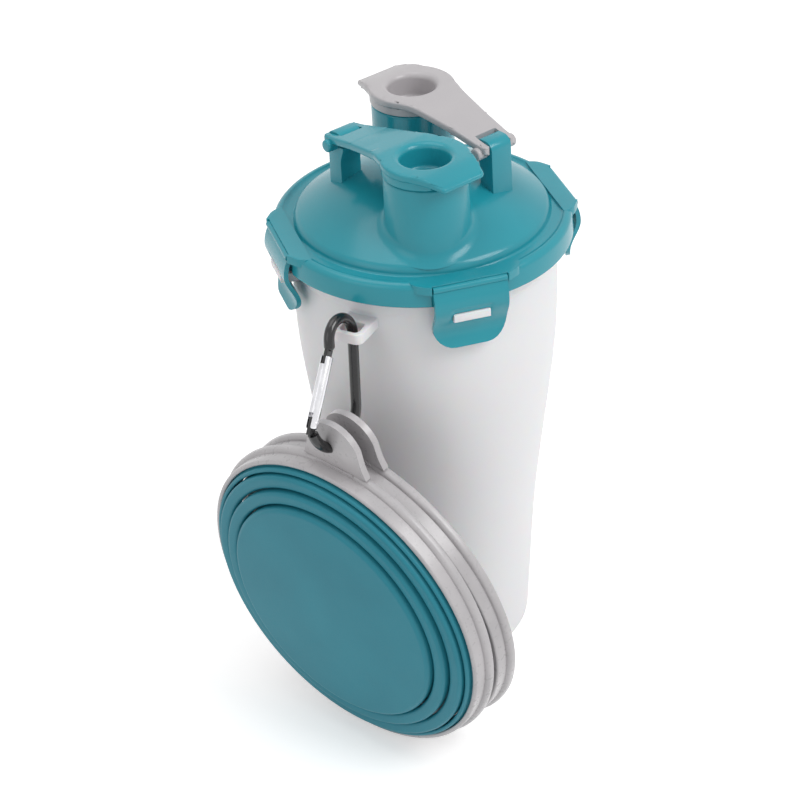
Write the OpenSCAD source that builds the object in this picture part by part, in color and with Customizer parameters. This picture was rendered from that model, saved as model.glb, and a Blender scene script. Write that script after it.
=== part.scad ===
// Travel bottle with two chambers, a lid with two capped spouts, and two folding bowls on a snap hook

/* [Container] */
// Outer radius of the container at its foot
foot_r = 36; // [33:0.5:39]
// Height of the container's rim above the floor
rim_z = 187.4; // [180:0.2:195]
// Wall thickness of the container
wall = 2; // [1.6:0.1:2.4]
// Thickness of the container's floor
floor_t = 2.5; // [2:0.1:4]
// Radius of the rounded edge at the foot
foot_round = 7; // [5:0.5:9]
// Growth of the radius per unit of height in the lower part
low_slope = 0.063; // [0.05:0.001:0.075]
// Growth of the radius per unit of height in the flared part
flare_slope = 0.135; // [0.12:0.001:0.15]
// Height where the flare starts
waist_z = 65; // [60:1:75]
// Height where the flare ends
neck_z = 142; // [135:1:148]
// Softness of the bends where the flare starts and ends
bend_soft = 8; // [6:0.5:10]
// Reach of the rim flange beyond the wall
flange_out = 2.5; // [2:0.1:3]
// Height of the rim flange
flange_h = 3.4; // [2.5:0.1:4]
// Thickness of the divider between the two chambers
divider_t = 2; // [1.6:0.1:3]
// Angle of the line through the two spouts
spout_line = -102.8; // [-110:0.2:-95]

/* [Lid] */
// Wall of the lid's skirt
skirt_wall = 3.4; // [3:0.1:4]
// Depth of the skirt below the container's rim
skirt_drop = 4.6; // [4:0.1:5.5]
// Height of the lid's outer edge above the container's rim
edge_h = 4.7; // [4.4:0.1:5.2]
// Thickness of the lid's flat deck over the rim
deck_t = 2; // [1.6:0.1:2.4]
// Width of the raised outer edge
edge_w = 3.3; // [2.8:0.1:3.6]
// Rounding of the outer edge
edge_round = 2.5; // [1.5:0.1:2.8]
// Spherical radius of the dome
dome_r = 82; // [78:0.5:90]
// Height of the dome's shoulder above the container's rim
shoulder_h = 6.7; // [6:0.1:7.5]
// Thickness of the dome
dome_t = 2; // [1.6:0.1:2.6]
// Depth of the plug ring below the container's rim
plug_drop = 3.4; // [3:0.1:5]
// Thickness of the plug ring
plug_t = 1.8; // [1.4:0.1:2.2]
// Thickness of the rib over the divider
rib_t = 3; // [2.4:0.1:4]
// Thickness of the lid gasket and of the divider seal
seal_t = 1.5; // [1.2:0.1:2]

/* [Spouts] */
// Distance of each spout from the bottle's axis
spout_d = 29.44; // [28.5:0.1:30]
// Outer radius of a spout
spout_r = 15.65; // [15:0.05:16]
// Radius of the bore in a spout
spout_bore_r = 12.6; // [12:0.1:13]
// Height of the spouts above the container's rim
spout_h = 36.2; // [34:0.2:39]

/* [Caps] */
// Distance from a spout's axis to the hinge pin of its cap
cap_arm = 46.05; // [45.5:0.05:47]
// Direction of the front cap's arm
cap_line = 112.9; // [111:0.1:115]
// Radius of the cap's round head
cap_head_r = 16.6; // [16.3:0.1:17]
// Thickness of the cap's plate
cap_plate_t = 3; // [2.4:0.1:3.4]
// Height of the collar under the cap's plate
cap_collar_h = 3.1; // [2.6:0.1:4]
// Radius of the cap's plug
cap_plug_r = 12.05; // [11.6:0.05:12.1]
// Depth of the cap's plug in the spout
cap_plug_h = 5.4; // [5:0.1:8]
// Radius of the dimple in the cap's top
dimple_r = 9; // [8:0.1:9.6]
// Rounding of the dimple's edge
dimple_lip = 2.5; // [2:0.1:2.8]
// Thickness of the plug's floor under the dimple
dimple_floor = 2.2; // [1.6:0.1:3]
// Distance of the thumb tab's front edge from the spout's axis
tab_reach = 21.2; // [20:0.1:23]
// Width of the thumb tab's front edge
tab_w = 19; // [16:0.1:20]
// Drop of the thumb tab's front edge below the cap's top
tab_droop = 2.5; // [1.5:0.1:3]
// Drop of the arm's end below the cap's top
arm_droop = 6; // [5.5:0.1:6.5]
// Half width of the arm at the hinge
arm_half_w = 7.4; // [7:0.1:8]
// Radius of the hinge pin
pin_r = 1.8; // [1.4:0.05:1.9]
// Radius of the pin's thick ends
ear_r = 2.45; // [2.2:0.05:2.8]
// Half length of the hinge pin with its ends
ear_out = 9.5; // [9:0.1:10]
// Depth of the hinge pin below the spout's top
pin_drop = 3.5; // [3.2:0.1:3.8]
// Width of a hinge post
post_w = 9.4; // [8.6:0.1:9.6]
// Outer radius of the hook round the hinge pin
hook_r = 4.3; // [4:0.05:4.4]
// Width of the hook's mouth
hook_mouth = 2.8; // [2.4:0.1:3.2]

/* [Latches] */
// Width of a latch flap
flap_w = 28; // [26:0.5:30]
// Thickness of a latch flap
flap_t = 1.8; // [1.6:0.1:2]
// Length of a latch flap below its hinge
flap_l = 25.6; // [24.5:0.1:26.5]
// Radius of the flap's lower corners
flap_round = 8; // [5:0.5:9]
// Radius of the hinge barrel
barrel_r = 1.25; // [1.1:0.05:1.4]
// Inset of the hinge barrel's axis from the skirt's outside
barrel_in = 0.8; // [0.6:0.05:1]
// Depth of the hinge barrel's axis below the lid's edge
barrel_drop = 1.8; // [1.7:0.05:2]
// Width of a lug
lug_w = 13.8; // [12:0.1:15]
// Height of a lug
lug_h = 3.8; // [3.4:0.1:4.2]
// Depth of the lug's top below the container's rim
lug_drop = 7.7; // [7.2:0.1:8]
// Reach of a lug from the container's wall
lug_out = 7.5; // [7:0.1:8]
// Rise of the lug's underside towards its tip
lug_rise = 1.5; // [1.2:0.1:1.8]

/* [Snap hook] */
// Radius of the hook's bar
bar_r = 2; // [1.8:0.05:2.1]
// Length of the straight spine
spine_l = 26; // [25.5:0.1:26.5]
// Radius of the top bend
top_bend_r = 6.9; // [6.7:0.05:7.2]
// Radius of the bottom bend
low_bend_r = 13.4; // [13.2:0.1:13.6]
// Outer radius of the gate's tube
gate_r = 2.2; // [2:0.05:2.4]
// Radius of the gate's bore
gate_bore_r = 1.5; // [1.3:0.05:1.6]
// Thickness of the flat tongues in the gate's slits
tongue_t = 1.5; // [1.2:0.1:1.6]
// Radius of the gate's rivet
rivet_r = 0.7; // [0.6:0.05:0.8]
// Width of the eye on the container
eye_w = 12; // [11.5:0.1:13]
// Height of the eye's plate
eye_h = 4.4; // [4:0.1:4.8]
// Distance from the bottle's axis to the middle of the eye's hole
eye_d = 58.75; // [58.5:0.05:59]
// Length of the eye's hole across the bottle
eye_hole_l = 7.5; // [7.2:0.1:8]
// Width of the eye's hole outwards
eye_hole_w = 6.9; // [6.7:0.1:7.1]
// Thickness of the eye's outer bridge
bridge_t = 1.8; // [1.5:0.1:2.2]
// Depth of the eye's middle below the container's rim
eye_drop = 15.7; // [15:0.1:16.5]
// Drop of the spine's upper end below the eye's middle
hook_drop = 0.8; // [0.6:0.1:1]

/* [Bowls] */
// Outer radius of a bowl's rim
bowl_r = 66.2; // [65:0.1:67]
// Radius of the bead round the rim
bead_r = 1.75; // [1.5:0.05:1.9]
// Thickness of the rim's band
band_t = 1.9; // [1.6:0.1:2]
// Depth of the rim's band
band_h = 7; // [6:0.1:7.5]
// Thickness of the silicone walls
sil_t = 1.7; // [1.4:0.05:1.8]
// Height of each silicone step's wall
step_h = 10.4; // [10:0.1:10.6]
// Radial gap between neighbouring silicone steps
step_gap = 0.6; // [0.4:0.05:0.7]
// Width of each folding ring
ring_w = 5.3; // [5:0.1:5.5]
// Height of the collar's edge above the rim's middle plane
collar_top = 8.7; // [8.4:0.1:9]
// Rise from one folded step to the next
step_rise = 2; // [1.8:0.05:2.1]
// Travel of the base when the bowl unfolds
unfold = 24; // [18:0.5:24]
// Lean of the front bowl from upright
front_lean = 6.84; // [6.6:0.05:7.2]
// Lean of the rear bowl from upright
rear_lean = 9.84; // [9.4:0.05:10]
// Thickness of the hanging tab
tab_t = 2.6; // [2.2:0.1:3]
// Radius of the hanging tab's round head
tab_head_r = 12.5; // [12:0.1:13]
// Radius of the hole in the hanging tab
tab_hole_r = 5.6; // [5.4:0.1:6]
// How far the middle of the tab's head lies beyond the bowl's rim
tab_mid_out = 6.3; // [5.8:0.1:6.8]
// Width of the hanging tab where it joins the rim
tab_foot_w = 30; // [26:0.5:32]
// How far the shoulders of the tab's foot lie inside the bowl's rim
tab_foot_in = 0.7; // [0.2:0.1:1.2]
// Turn of the hanging tab round the rim
tab_turn = -3; // [-4:0.5:-2]

/* [Hidden] */
$fn = 96;
// Clearance between pieces that move apart
gap = 0.3;
// Clearance round a turning pin
pin_fit = 0.06;
// Clearance between pieces that are fitted together
seat_fit = 0.05;
// Small overlap that joins solids of one piece
join = 0.1;
steel = [0.72, 0.73, 0.75];
teal = [0.10, 0.52, 0.60];
bowl_teal = [0.09, 0.47, 0.56];
grey = [0.76, 0.75, 0.76];
frosted = [0.88, 0.87, 0.88, 0.75];

function soft_ramp(x) = bend_soft * ln(1 + exp(x / bend_soft));
function body_r(z) = foot_r + low_slope * z + (flare_slope - low_slope) * soft_ramp(z - waist_z)
    - flare_slope * soft_ramp(z - neck_z);
function arc(c, r, a0, a1, n) = [for (i = [0:n]) let (a = a0 + (a1 - a0) * i / n) c + r * [cos(a), sin(a)]];

neck_r = body_r(rim_z);
neck_in = neck_r - wall;
flange_r = neck_r + flange_out;
wall_step = 8;
wall_zs = [for (z = [foot_round:wall_step:rim_z - wall_step / 2]) z];

skirt_gap = 0.4;
skirt_in = flange_r + skirt_gap;
flange_chamfer = 0.4;
edge_taper = 0.6;
lid_r = skirt_in + skirt_wall;
deck_z = rim_z + gap + seal_t;
deck_top = deck_z + deck_t;
lid_top = rim_z + edge_h;
plug_r = neck_in - gap;
plug_in = plug_r - plug_t;
shoulder_z = rim_z + shoulder_h;
shoulder_r = plug_r - gap;
// How deep a boss on the lid starts below the shoulder, inside the dome
root = 1;
dome_cz = shoulder_z - sqrt(pow(dome_r, 2) - pow(shoulder_r, 2));
divider_top = rim_z - gap;
rib_z = divider_top + gap + seal_t;
spout_top = rim_z + spout_h;

barrel_d = lid_r - barrel_in;
barrel_z = lid_top - barrel_drop;
notch_d = barrel_d - barrel_r - pin_fit - seat_fit;
lug_top = rim_z - lug_drop;
lug_tip = neck_r + lug_out;
slot_w = lug_w + 2 * gap;
slot_h = lug_h + 2 * gap;
latch_angles = [-90, 0, 90, 180];

pin_z = spout_top - pin_drop;
cap_z = spout_top + gap;
cap_top = cap_z + cap_collar_h + cap_plate_t;
collar_r = spout_r + 0.45;
washer_t = 1.1;
washer_r = spout_r - 0.65;

// Along a latch's flap: a belly below the hinge, then a wave that curls its lip outwards
belly_s = 8;
belly_out = 2.35;
belly_rise = 2.24;
lip_wave = 2.1;
lip_wave_l = 12;
ledge_w = 1;
ledge_gap = 0.2;

eye_line = -134.1;
eye_z = rim_z - eye_drop;
gate_x = 2 * top_bend_r;
nose_l = 2.4;
// The rivet sits a little inside the bottom bend, where the bend ends
pivot_turn = -8;
pivot_in = 1.3;
pivot = [low_bend_r + (low_bend_r - pivot_in) * cos(pivot_turn),
    (low_bend_r - pivot_in) * sin(pivot_turn) - spine_l];
nose = [gate_x, -nose_l];
gate_len = norm(nose - pivot);
gate_lean = atan2(pivot[0] - nose[0], nose[1] - pivot[1]);
low_bend_end = -26;
// The gate's tube stops short of the nose and is slit at both ends for the tongues
gate_top = gate_len - 3.3;
gate_tail = 2.2;
tongue_w = 1.7 * bar_r;
top_tongue_in = 2.6;
low_tongue = 4.6;
slit_gap = 0.2;
slit_w = tongue_t + 2 * slit_gap;

bead_mid_r = bowl_r - bead_r;
band_in = bead_mid_r - band_t;
tab_mid_y = bowl_r + tab_mid_out;
tab_foot_y = bowl_r - tab_foot_in;
collar_out_r = band_in - 0.65;
collar_h = 7.2;
collar_step = 0.6;
upper_r = collar_out_r - sil_t - step_gap;
lower_r = upper_r - ring_w - step_gap;
base_r = lower_r - ring_w - step_gap;
upper_top = collar_top + step_rise;
lower_top = upper_top + step_rise;
base_top = lower_top + step_rise;

function turn_x(p, a) = [p[0], p[1] * cos(a) - p[2] * sin(a), p[1] * sin(a) + p[2] * cos(a)];
function turn_y(p, a) = [p[0] * cos(a) + p[2] * sin(a), p[1], p[2] * cos(a) - p[0] * sin(a)];
function turn_z(p, a) = [p[0] * cos(a) - p[1] * sin(a), p[0] * sin(a) + p[1] * cos(a), p[2]];
function turned(p, t) = turn_z(turn_y(turn_x(p, t[0]), t[1]), t[2]);

// The hook's own frame has X outwards, Z up along the spine and its origin in the eye
eye_point = [eye_d * cos(eye_line), eye_d * sin(eye_line), eye_z - hook_drop];
hook_turn = [11.2, -15.3, -144.7];
function hook_point(a) = eye_point
    + turned([low_bend_r * (1 + cos(a)), 0, low_bend_r * sin(a) - spine_l], hook_turn);

// A bowl's frame has X across, Y up and Z from the mouth to the base
// Its origin lies in the middle of the rim
front_turn = [90 + front_lean, 0, -57.54];
rear_turn = [90 + rear_lean, 0, -59.02];
front_hang = hook_point(278.9);
rear_hang = hook_point(234.8);
// Where the hook's bar passes the tab's hole, from the middle of the tab's head
front_bar = [1.9, 0.13];
rear_bar = [1.3, 0.76];
front_pos = front_hang - turned([front_bar[0], tab_mid_y + front_bar[1], 0], front_turn);
rear_pos = rear_hang - turned([rear_bar[0], tab_mid_y + rear_bar[1], 0], rear_turn);

module at_hook() {
    translate(eye_point) rotate(hook_turn) children();
}
module at_gate() {
    at_hook() translate([pivot[0], 0, pivot[1]]) rotate([0, -gate_lean, 0]) children();
}
module at_front_bowl() {
    translate(front_pos) rotate(front_turn) children();
}
module at_rear_bowl() {
    translate(rear_pos) rotate(rear_turn) children();
}
module at_spout(i) {
    rotate(180 * i) translate([spout_d * cos(spout_line), spout_d * sin(spout_line), 0]) children();
}
module at_cap(i) {
    at_spout(i) rotate(cap_line) children();
}
// Extrudes an outline drawn in X and Z along Y, centred on the XZ plane
module slab(w) {
    rotate([90, 0, 0]) linear_extrude(w, center = true) children();
}
module rounded_box_outline(x0, x1, half_w, r) {
    translate([x0 + r, -half_w]) square([x1 - x0 - 2 * r, 2 * half_w]);
    translate([x0, r - half_w]) square([x1 - x0, 2 * (half_w - r)]);
    for (x = [x0 + r, x1 - r], y = [r - half_w, half_w - r]) translate([x, y]) circle(r);
}

module container_core(inset, z0, z1) {
    rotate_extrude() polygon(concat(
        [[0, z0], [body_r(z0) - inset, z0]],
        [for (z = wall_zs) if (z > z0 && z < z1) [body_r(z) - inset, z]],
        [[body_r(z1) - inset, z1], [0, z1]]));
}
module container_shell() {
    foot_c = body_r(foot_round) - foot_round;
    inner_round = foot_round - wall;
    inner_c = body_r(floor_t + inner_round) - wall - inner_round;
    rotate_extrude() polygon(concat(
        [[0, 0]],
        arc([foot_c, foot_round], foot_round, -90, 0, 6),
        [for (z = wall_zs) if (z > foot_round) [body_r(z), z]],
        [[neck_r, rim_z - flange_h], [flange_r, rim_z - flange_h + edge_taper],
            [flange_r, rim_z - flange_chamfer], [flange_r - flange_chamfer, rim_z], [neck_in, rim_z]],
        [for (i = [len(wall_zs) - 1:-1:1]) [body_r(wall_zs[i]) - wall, wall_zs[i]]],
        arc([inner_c, floor_t + inner_round], inner_round, 0, -90, 5),
        [[0, floor_t]]));
}
module divider() {
    notch_z = rim_z - plug_drop - gap;
    difference() {
        intersection() {
            container_core(wall / 2, floor_t / 2, divider_top);
            rotate(spout_line) cube([divider_t, 4 * neck_r, 4 * rim_z], center = true);
        }
        difference() {
            translate([0, 0, notch_z]) cylinder(r = neck_r, h = rim_z);
            translate([0, 0, notch_z - 1]) cylinder(r = plug_in - gap, h = rim_z + 2);
        }
    }
}
module lug() {
    lug_in = neck_r - wall / 2;
    slab(lug_w) polygon([[lug_in, lug_top - lug_h], [neck_r + wall, lug_top - lug_h],
        [lug_tip, lug_top - lug_h + lug_rise], [lug_tip, lug_top], [lug_in, lug_top]]);
}
module eye() {
    hole_out = eye_d + eye_hole_w / 2;
    translate([0, 0, eye_z - eye_h / 2]) rotate(eye_line) linear_extrude(eye_h) difference() {
        rounded_box_outline(neck_in + wall / 4, hole_out + bridge_t, eye_w / 2, eye_w / 4);
        rounded_box_outline(hole_out - eye_hole_w, hole_out, eye_hole_l / 2, eye_hole_l / 5);
    }
}
module container() {
    color(frosted) {
        container_shell();
        divider();
        for (a = latch_angles) rotate(a) lug();
        eye();
    }
}

module lid_rim() {
    edge_top_r = lid_r - edge_taper;
    rotate_extrude() polygon(concat(
        [[skirt_in, rim_z - skirt_drop], [lid_r, rim_z - skirt_drop]],
        arc([edge_top_r - edge_round, lid_top - edge_round], edge_round, 0, 90, 6),
        [[lid_r - edge_w, lid_top], [lid_r - edge_w, deck_top], [plug_in, deck_top],
            [plug_in, rim_z - plug_drop], [plug_r, rim_z - plug_drop],
            [plug_r, deck_z], [skirt_in, deck_z]]));
}
module lid_dome() {
    intersection() {
        translate([0, 0, dome_cz]) sphere(dome_r, $fn = 160);
        translate([0, 0, deck_top - join]) cylinder(r = shoulder_r, h = dome_r);
    }
}
module lid_hollow(grow) {
    intersection() {
        translate([0, 0, dome_cz]) sphere(dome_r - dome_t + grow, $fn = 160);
        translate([0, 0, rim_z - plug_drop - 1]) cylinder(r = plug_in + grow, h = dome_r);
    }
}
module hinge_post() {
    foot_z = shoulder_z - root;
    translate([cap_arm, 0, pin_z]) rotate([90, 0, 0]) cylinder(r = hook_r, h = post_w, center = true);
    translate([cap_arm - hook_r / 2, -post_w / 2, foot_z]) cube([1.5 * hook_r, post_w, pin_z - foot_z]);
}
module hinge_socket() {
    translate([cap_arm, 0, pin_z]) {
        rotate([90, 0, 0]) cylinder(r = pin_r + pin_fit, h = post_w + 1, center = true);
        translate([-hook_r, 0, 0]) cube([2 * hook_r, post_w + 1, hook_mouth], center = true);
    }
}
module latch_seat() {
    ledge_in = notch_d - ledge_gap - ledge_w;
    translate([ledge_in, -flap_w / 2, barrel_z])
        cube([barrel_d - ledge_gap - ledge_in, flap_w, lid_top - barrel_z]);
}
module latch_room() {
    room_w = flap_w + 2 * gap;
    room_z = rim_z - skirt_drop - 1;
    translate([notch_d, -room_w / 2, room_z]) cube([lid_r, room_w, barrel_z - room_z]);
    translate([barrel_d - ledge_gap, -room_w / 2, room_z]) cube([lid_r, room_w, 2 * (lid_top - room_z)]);
    translate([barrel_d, 0, barrel_z]) rotate([90, 0, 0])
        cylinder(r = barrel_r + pin_fit, h = room_w, center = true);
}
module lid() {
    color(teal) {
        difference() {
            union() {
                lid_rim();
                lid_dome();
                for (i = [0, 1]) at_spout(i) translate([0, 0, shoulder_z - root])
                    cylinder(r = spout_r, h = spout_top - shoulder_z + root);
                for (i = [0, 1]) at_cap(i) hinge_post();
                for (a = latch_angles) rotate(a) latch_seat();
            }
            lid_hollow(0);
            for (i = [0, 1]) at_spout(i) translate([0, 0, rim_z]) cylinder(r = spout_bore_r, h = 2 * spout_h);
            for (i = [0, 1]) at_cap(i) hinge_socket();
            for (a = latch_angles) rotate(a) latch_room();
        }
        intersection() {
            lid_hollow(join);
            rotate(spout_line) translate([-rib_t / 2, -plug_r, rib_z]) cube([rib_t, 2 * plug_r, dome_r]);
        }
    }
}
module lid_gasket() {
    color("white") translate([0, 0, rim_z + gap]) difference() {
        cylinder(r = flange_r - flange_chamfer, h = seal_t);
        translate([0, 0, -1]) cylinder(r = plug_r + gap, h = seal_t + 2);
    }
}
module divider_seal() {
    color("white") intersection() {
        translate([0, 0, divider_top + gap]) cylinder(r = plug_in - seat_fit, h = seal_t);
        rotate(spout_line) cube([rib_t, 4 * plug_r, 4 * rim_z], center = true);
    }
}

function bow(s) = s < belly_s ? belly_out - belly_rise * pow(1 - s / belly_s, 2)
    : belly_out - lip_wave * (1 - cos(180 * (s - belly_s) / lip_wave_l));
module latch() {
    depths = concat([for (s = [belly_s / 4:belly_s / 4:flap_l - 1]) s], [flap_l]);
    last = len(depths) - 1;
    slot_z = lug_top + gap - slot_h - barrel_z;
    color(teal) translate([barrel_d, 0, barrel_z]) {
        rotate([90, 0, 0]) cylinder(r = barrel_r, h = flap_w, center = true);
        difference() {
            intersection() {
                slab(flap_w) polygon(concat(
                    [[0.48 * barrel_r, -0.72 * barrel_r]],
                    [for (s = depths) [bow(s), -s]],
                    [for (i = [last:-1:0]) [bow(depths[i]) - flap_t, -depths[i]]],
                    [[-0.6 * barrel_r, -0.76 * barrel_r]]));
                rotate([0, 90, 0]) linear_extrude(2 * flap_l, center = true)
                    rounded_box_outline(-flap_round, flap_l, flap_w / 2, flap_round);
            }
            translate([-flap_l / 2, -slot_w / 2, slot_z]) cube([flap_l, slot_w, slot_h]);
        }
    }
}
module latch_front() { rotate(-90) latch(); }
module latch_right() { latch(); }
module latch_back() { rotate(90) latch(); }
module latch_left() { rotate(180) latch(); }

module cap_outline() {
    tab_turn_x = -0.93 * cap_head_r;
    arm_end = cap_arm + hook_r - gap;
    side = concat([[-tab_reach, tab_w / 2], [tab_turn_x, 0.68 * cap_head_r]],
        arc([0, 0], cap_head_r, 130, 54, 9),
        [[0.87 * cap_head_r, 0.74 * cap_head_r], [cap_arm - 1.45 * cap_head_r, 0.66 * cap_head_r],
            [cap_arm - 0.85 * cap_head_r, 1.24 * arm_half_w],
            [cap_arm - ear_r, arm_half_w], [arm_end, arm_half_w]]);
    polygon(concat(side, [for (i = [len(side) - 1:-1:0]) [side[i][0], -side[i][1]]]));
}
module cap_side() {
    flat_in = dimple_r + 1.4 * dimple_lip;
    arm_top = cap_top - arm_droop;
    polygon([[-tab_reach, cap_top - tab_droop], [-flat_in - dimple_lip, cap_top - 0.14 * tab_droop],
        [-flat_in, cap_top], [dimple_r + 2 * dimple_lip, cap_top], [cap_arm - 0.8 * ear_r, arm_top],
        [cap_arm + 0.3 * ear_r, arm_top - 0.2 * ear_r], [cap_arm + 0.9 * ear_r, pin_z + 0.4 * ear_r],
        [cap_arm, pin_z], [cap_arm - 0.9 * ear_r, pin_z + 0.2 * ear_r],
        [cap_arm - 1.28 * hook_r, arm_top - 0.53 * cap_plate_t],
        [dimple_r + 3.2 * dimple_lip, cap_top - cap_plate_t], [-cap_head_r, cap_top - cap_plate_t],
        [-tab_reach, cap_top - tab_droop - cap_plate_t / 2]]);
}
module cap_dimple() {
    floor_round = 0.6 * dimple_lip;
    floor_z = spout_top - cap_plug_h + dimple_floor;
    rotate_extrude() polygon(concat(
        [[0, floor_z]],
        arc([dimple_r - floor_round, floor_z + floor_round], floor_round, -90, 0, 4),
        arc([dimple_r + dimple_lip, cap_top - dimple_lip], dimple_lip, 180, 90, 6),
        [[dimple_r + dimple_lip, cap_top + 1], [0, cap_top + 1]]));
}
module cap() {
    post_room = post_w / 2 + gap;
    plug_z = spout_top - cap_plug_h;
    difference() {
        union() {
            intersection() {
                translate([0, 0, pin_z - 1]) linear_extrude(2 * (cap_top - pin_z)) cap_outline();
                slab(4 * cap_head_r) cap_side();
            }
            translate([0, 0, cap_z]) cylinder(r = collar_r, h = cap_collar_h + join);
            translate([0, 0, plug_z]) cylinder(r = cap_plug_r, h = cap_top - cap_plate_t / 2 - plug_z);
            for (m = [0, 1]) mirror([0, m, 0]) translate([cap_arm, ear_out, pin_z]) rotate([90, 0, 0])
                cylinder(r = ear_r, h = ear_out - post_room);
        }
        cap_dimple();
        translate([0, 0, cap_z - 1]) difference() {
            cylinder(r = washer_r + seat_fit, h = washer_t + 1);
            translate([0, 0, -1]) cylinder(r = cap_plug_r, h = washer_t + 3);
        }
        translate([cap_arm - hook_r - gap, -post_room, pin_z - 2 * hook_r])
            cube([3 * hook_r, 2 * post_room, 4 * hook_r]);
    }
    translate([cap_arm, 0, pin_z]) rotate([90, 0, 0])
        cylinder(r = pin_r, h = 2 * post_room + join, center = true);
}
module cap_seal() {
    translate([0, 0, cap_z]) difference() {
        cylinder(r = washer_r, h = washer_t);
        translate([0, 0, -1]) cylinder(r = cap_plug_r + seat_fit, h = washer_t + 2);
    }
}
module front_cap() { color(teal) at_cap(0) cap(); }
module back_cap() { color(grey) at_cap(1) cap(); }
module front_cap_seal() { color("white") at_cap(0) cap_seal(); }
module back_cap_seal() { color("white") at_cap(1) cap_seal(); }

module bend(r, a0, a1) {
    rotate([90, 0, 0]) rotate([0, 0, a0])
        rotate_extrude(angle = a1 - a0) translate([r, 0]) circle(bar_r, $fn = 48);
}
module carabiner_body() {
    color("black") {
        at_hook() {
            translate([0, 0, -spine_l]) cylinder(r = bar_r, h = spine_l, $fn = 48);
            translate([top_bend_r, 0, 0]) bend(top_bend_r, 0, 180);
            translate([gate_x, 0, -nose_l]) cylinder(r = bar_r, h = nose_l, $fn = 48);
            translate([low_bend_r, 0, -spine_l]) bend(low_bend_r, 180, 360 + low_bend_end);
        }
        at_gate() {
            translate([-tongue_w / 2, -tongue_t / 2, gate_top - top_tongue_in])
                cube([tongue_w, tongue_t, gate_len - gate_top + top_tongue_in + 1]);
            difference() {
                translate([-tongue_w / 2, -tongue_t / 2, -low_tongue])
                    cube([tongue_w, tongue_t, low_tongue + gate_tail - slit_gap]);
                rotate([90, 0, 0]) cylinder(r = rivet_r + pin_fit, h = 4 * tongue_t, center = true);
            }
        }
    }
}
module carabiner_gate() {
    bore_z = gate_tail + 0.8;
    color(steel) at_gate() difference() {
        translate([0, 0, -gate_tail]) cylinder(r = gate_r, h = gate_top + gate_tail, $fn = 48);
        translate([0, 0, bore_z]) cylinder(r = gate_bore_r, h = gate_len, $fn = 48);
        translate([-gate_r - 1, -slit_w / 2, -gate_tail - 1])
            cube([2 * gate_r + 2, slit_w, gate_tail + 1 + bore_z + 0.5]);
        translate([-gate_r - 1, -slit_w / 2, gate_top - top_tongue_in - 2 * slit_gap])
            cube([2 * gate_r + 2, slit_w, gate_len]);
        rotate([90, 0, 0]) cylinder(r = rivet_r + pin_fit, h = 4 * gate_r, center = true, $fn = 48);
    }
}
module gate_pin() {
    color(steel) at_gate() rotate([90, 0, 0]) cylinder(r = rivet_r, h = 2 * gate_r, center = true, $fn = 48);
}
module gate_spring() {
    spring_z = gate_tail + 1.4;
    color(steel) at_gate() translate([0, 0, spring_z]) difference() {
        cylinder(r = gate_bore_r - seat_fit, h = 0.4 * gate_len, $fn = 48);
        translate([0, 0, -1]) cylinder(r = gate_bore_r / 2, h = gate_len, $fn = 48);
    }
}

// A silicone step of a folded bowl: an outer wall with a rounded crest and a short inner lip
module step_ring(r, w, top) {
    crest = 0.8;
    lip_z = top - sil_t - 1.8;
    rotate_extrude() polygon(concat(
        [[r - sil_t, top - step_h], [r, top - step_h]],
        arc([r - crest, top - crest], crest, 0, 90, 3),
        arc([r - w + crest, top - crest], crest, 90, 180, 3),
        [[r - w, lip_z], [r - w + sil_t, lip_z], [r - w + sil_t, top - sil_t], [r - sil_t, top - sil_t]]));
}
module bowl_rim() {
    difference() {
        union() {
            rotate_extrude() translate([bead_mid_r, 0]) circle(bead_r, $fn = 32);
            translate([0, 0, -bead_r]) cylinder(r = bead_mid_r, h = band_h + bead_r);
            translate([0, 0, -tab_t / 2]) linear_extrude(tab_t) rotate(tab_turn) {
                translate([0, tab_mid_y]) circle(tab_head_r);
                polygon([[-tab_foot_w / 2, band_in + 1], [tab_foot_w / 2, band_in + 1],
                    [tab_foot_w / 2, tab_foot_y], [tab_head_r * 0.86, tab_mid_y + tab_head_r * 0.5],
                    [-tab_head_r * 0.86, tab_mid_y + tab_head_r * 0.5], [-tab_foot_w / 2, tab_foot_y]]);
            }
        }
        translate([0, 0, -bead_r - 1]) cylinder(r = band_in, h = band_h + 2 * bead_r + 2);
        rotate(tab_turn) translate([0, tab_mid_y, -tab_t]) cylinder(r = tab_hole_r, h = 2 * tab_t);
    }
}
module bowl_collar() {
    crest = 0.8;
    low = collar_top - collar_h;
    step_r = collar_out_r + collar_step;
    rotate_extrude() polygon(concat(
        [[collar_out_r - sil_t, low], [step_r, low], [step_r, collar_top - 3],
            [collar_out_r, collar_top - 2.5]],
        arc([collar_out_r - crest, collar_top - crest], crest, 0, 90, 3),
        [[collar_out_r - sil_t, collar_top]]));
}
module bowl_base() {
    top_round = 1.5;
    difference() {
        rotate_extrude() polygon(concat(
            [[0, base_top - step_h], [base_r, base_top - step_h]],
            arc([base_r - top_round, base_top - top_round], top_round, 0, 90, 4),
            [[0, base_top]]));
        translate([0, 0, base_top - 2 - step_h]) cylinder(r = base_r - sil_t, h = step_h);
    }
}
module front_bowl_rim() { color(grey) at_front_bowl() bowl_rim(); }
module front_bowl_collar() { color(bowl_teal) at_front_bowl() bowl_collar(); }
module front_bowl_upper_ring() { color(bowl_teal) at_front_bowl() step_ring(upper_r, ring_w, upper_top); }
module front_bowl_lower_ring() { color(bowl_teal) at_front_bowl() step_ring(lower_r, ring_w, lower_top); }
module front_bowl_base() { color(bowl_teal) at_front_bowl() bowl_base(); }
module rear_bowl_rim() { color(grey) at_rear_bowl() bowl_rim(); }
module rear_bowl_collar() { color(grey) at_rear_bowl() bowl_collar(); }
module rear_bowl_upper_ring() { color(grey) at_rear_bowl() step_ring(upper_r, ring_w, upper_top); }
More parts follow.
